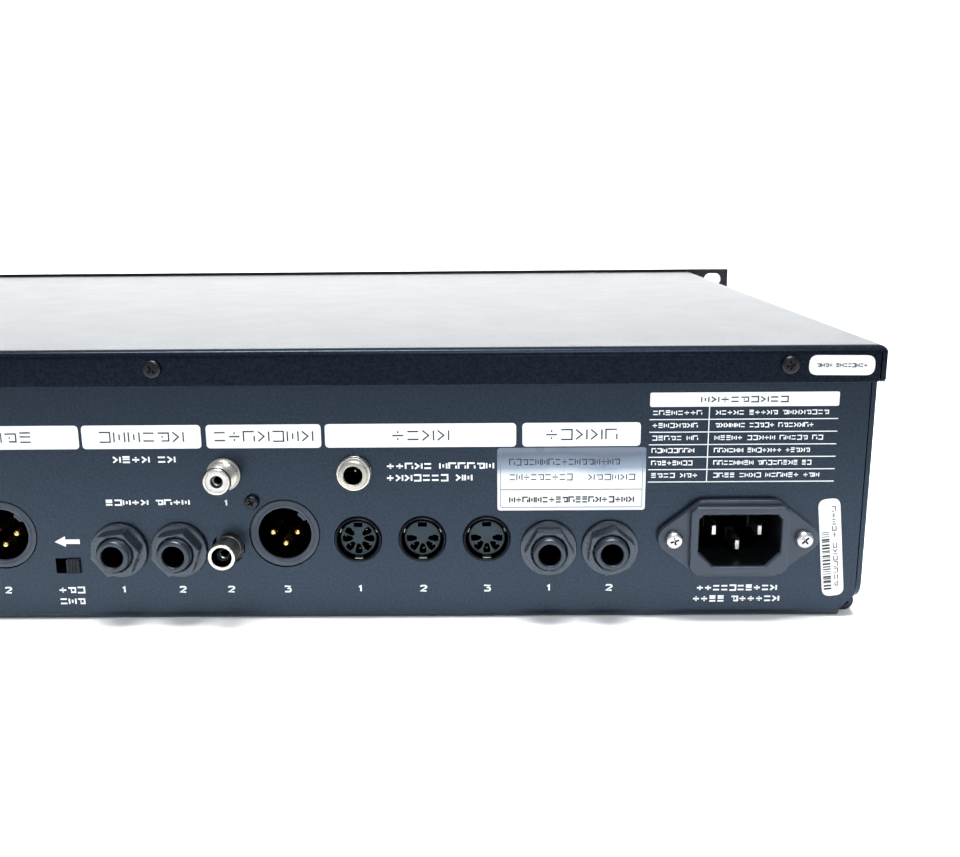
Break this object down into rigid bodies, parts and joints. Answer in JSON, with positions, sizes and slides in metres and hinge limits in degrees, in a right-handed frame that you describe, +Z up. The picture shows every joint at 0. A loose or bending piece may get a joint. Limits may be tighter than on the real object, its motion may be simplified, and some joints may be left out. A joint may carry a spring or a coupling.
{
  "type": "rack effects unit",
  "caption": "Rack-mount audio effects unit in a black folded steel case with a lift-off lid, a thick front panel with controls and display, and a rear wall of sockets.",
  "frame": {"origin": "centre of the overall bounding box in plan, on the surface that the unit stands on", "axes": "+X to the right seen from the front, -Y out of the front panel, +Z up"},
  "size_m": [0.4826, 0.3272, 0.0881],
  "materials": {
    "powder_coat": "fine-textured semi-gloss black powder coat on folded steel sheet",
    "anodised_panel": "satin black anodised aluminium",
    "black_plastic": "moulded black plastic, lightly satin",
    "socket_black": "moulded black insulator",
    "nickel": "warm nickel plate, worn satin",
    "zinc": "bright zinc plated steel",
    "black_screw": "blackened steel",
    "circuit_board": "green solder resist on glass-fibre board",
    "cast_alloy": "extruded aluminium, as sawn",
    "ferrite": "dark sintered core",
    "smoked_window": "dark smoked acrylic, polished",
    "knob_metal": "turned and anodised dark grey"
  },
  "bodies": {
    "unit": {"chassis": "powder_coat", "lid": "powder_coat", "front_panel": "anodised_panel", "lid_screw_1": "black_screw", "lid_screw_2": "black_screw", "lid_screw_3": "black_screw", "xlr_screw": "black_screw", "input_left_jack": "black_plastic", "input_left_nut": "black_plastic", "input_right_jack": "black_plastic", "input_right_nut": "black_plastic", "return_left_jack": "black_plastic", "return_left_nut": "black_plastic", "return_right_jack": "black_plastic", "return_right_nut": "black_plastic", "send_left_jack": "black_plastic", "send_left_nut": "black_plastic", "send_right_jack": "black_plastic", "send_right_nut": "black_plastic", "pedal_1_jack": "black_plastic", "pedal_1_nut": "black_plastic", "pedal_2_jack": "black_plastic", "pedal_2_nut": "black_plastic", "instrument_jack": "black_plastic", "instrument_jack_nut": "black_plastic", "mains_inlet": "black_plastic", "output_left_xlr": "black_plastic", "output_right_xlr": "black_plastic", "digital_out_xlr": "black_plastic", "din_in_socket": "socket_black", "din_out_socket": "socket_black", "din_thru_socket": "socket_black", "lift_switch_housing": "socket_black", "power_switch_body": "socket_black", "wheel_encoder": "socket_black", "phono_in_socket": "nickel", "phono_out_socket": "nickel", "dc_power_socket": "nickel", "inlet_screw_1": "zinc", "inlet_screw_2": "zinc", "main_board": "circuit_board", "power_board": "circuit_board", "control_board": "circuit_board", "display_module": "circuit_board", "processor_heatsink": "cast_alloy", "power_heatsink": "cast_alloy", "power_transformer": "ferrite", "display_window": "smoked_window"},
    "power_rocker_body": {"power_rocker": "black_plastic"},
    "lift_switch_slider_body": {"lift_switch_slider": "socket_black"},
    "input_level_knob_body": {"input_level_knob": "knob_metal"},
    "output_1_knob_body": {"output_1_knob": "knob_metal"},
    "output_2_knob_body": {"output_2_knob": "knob_metal"},
    "value_wheel_body": {"value_wheel": "knob_metal"},
    "page_left_button_body": {"page_left_button": "black_plastic"},
    "page_right_button_body": {"page_right_button": "black_plastic"},
    "exit_button_body": {"exit_button": "black_plastic"},
    "cursor_down_button_body": {"cursor_down_button": "black_plastic"},
    "cursor_up_button_body": {"cursor_up_button": "black_plastic"},
    "enter_button_body": {"enter_button": "black_plastic"}
  },
  "joints": [
    {"name": "power_rocker_tilt", "type": "hinge", "parent": "unit", "child": "power_rocker_body", "pos_m": [-0.192, -0.1481, 0.044], "axis": [1, 0, 0], "range_deg": [0, 16]},
    {"name": "ground_lift_slide", "type": "slide", "parent": "unit", "child": "lift_switch_slider_body", "axis": [1, 0, 0], "range_m": [0, 0.0034]},
    {"name": "input_level_knob_turn", "type": "hinge", "parent": "unit", "child": "input_level_knob_body", "pos_m": [-0.16, -0.1486, 0.062], "axis": [0, 1, 0], "range_deg": [-150, 150]},
    {"name": "output_1_knob_turn", "type": "hinge", "parent": "unit", "child": "output_1_knob_body", "pos_m": [0.156, -0.1486, 0.044], "axis": [0, 1, 0], "range_deg": [-150, 150]},
    {"name": "output_2_knob_turn", "type": "hinge", "parent": "unit", "child": "output_2_knob_body", "pos_m": [0.191, -0.1486, 0.044], "axis": [0, 1, 0], "range_deg": [-150, 150]},
    {"name": "value_wheel_turn", "type": "hinge", "parent": "unit", "child": "value_wheel_body", "pos_m": [0.105, -0.1486, 0.044], "axis": [0, 1, 0], "continuous": true},
    {"name": "page_left_button_press", "type": "slide", "parent": "unit", "child": "page_left_button_body", "axis": [0, 1, 0], "range_m": [0, 0.001], "stiffness_N_per_m": 400},
    {"name": "page_right_button_press", "type": "slide", "parent": "unit", "child": "page_right_button_body", "axis": [0, 1, 0], "range_m": [0, 0.001], "stiffness_N_per_m": 400},
    {"name": "exit_button_press", "type": "slide", "parent": "unit", "child": "exit_button_body", "axis": [0, 1, 0], "range_m": [0, 0.001], "stiffness_N_per_m": 400},
    {"name": "cursor_down_button_press", "type": "slide", "parent": "unit", "child": "cursor_down_button_body", "axis": [0, 1, 0], "range_m": [0, 0.001], "stiffness_N_per_m": 400},
    {"name": "cursor_up_button_press", "type": "slide", "parent": "unit", "child": "cursor_up_button_body", "axis": [0, 1, 0], "range_m": [0, 0.001], "stiffness_N_per_m": 400},
    {"name": "enter_button_press", "type": "slide", "parent": "unit", "child": "enter_button_body", "axis": [0, 1, 0], "range_m": [0, 0.001], "stiffness_N_per_m": 400}
  ]
}
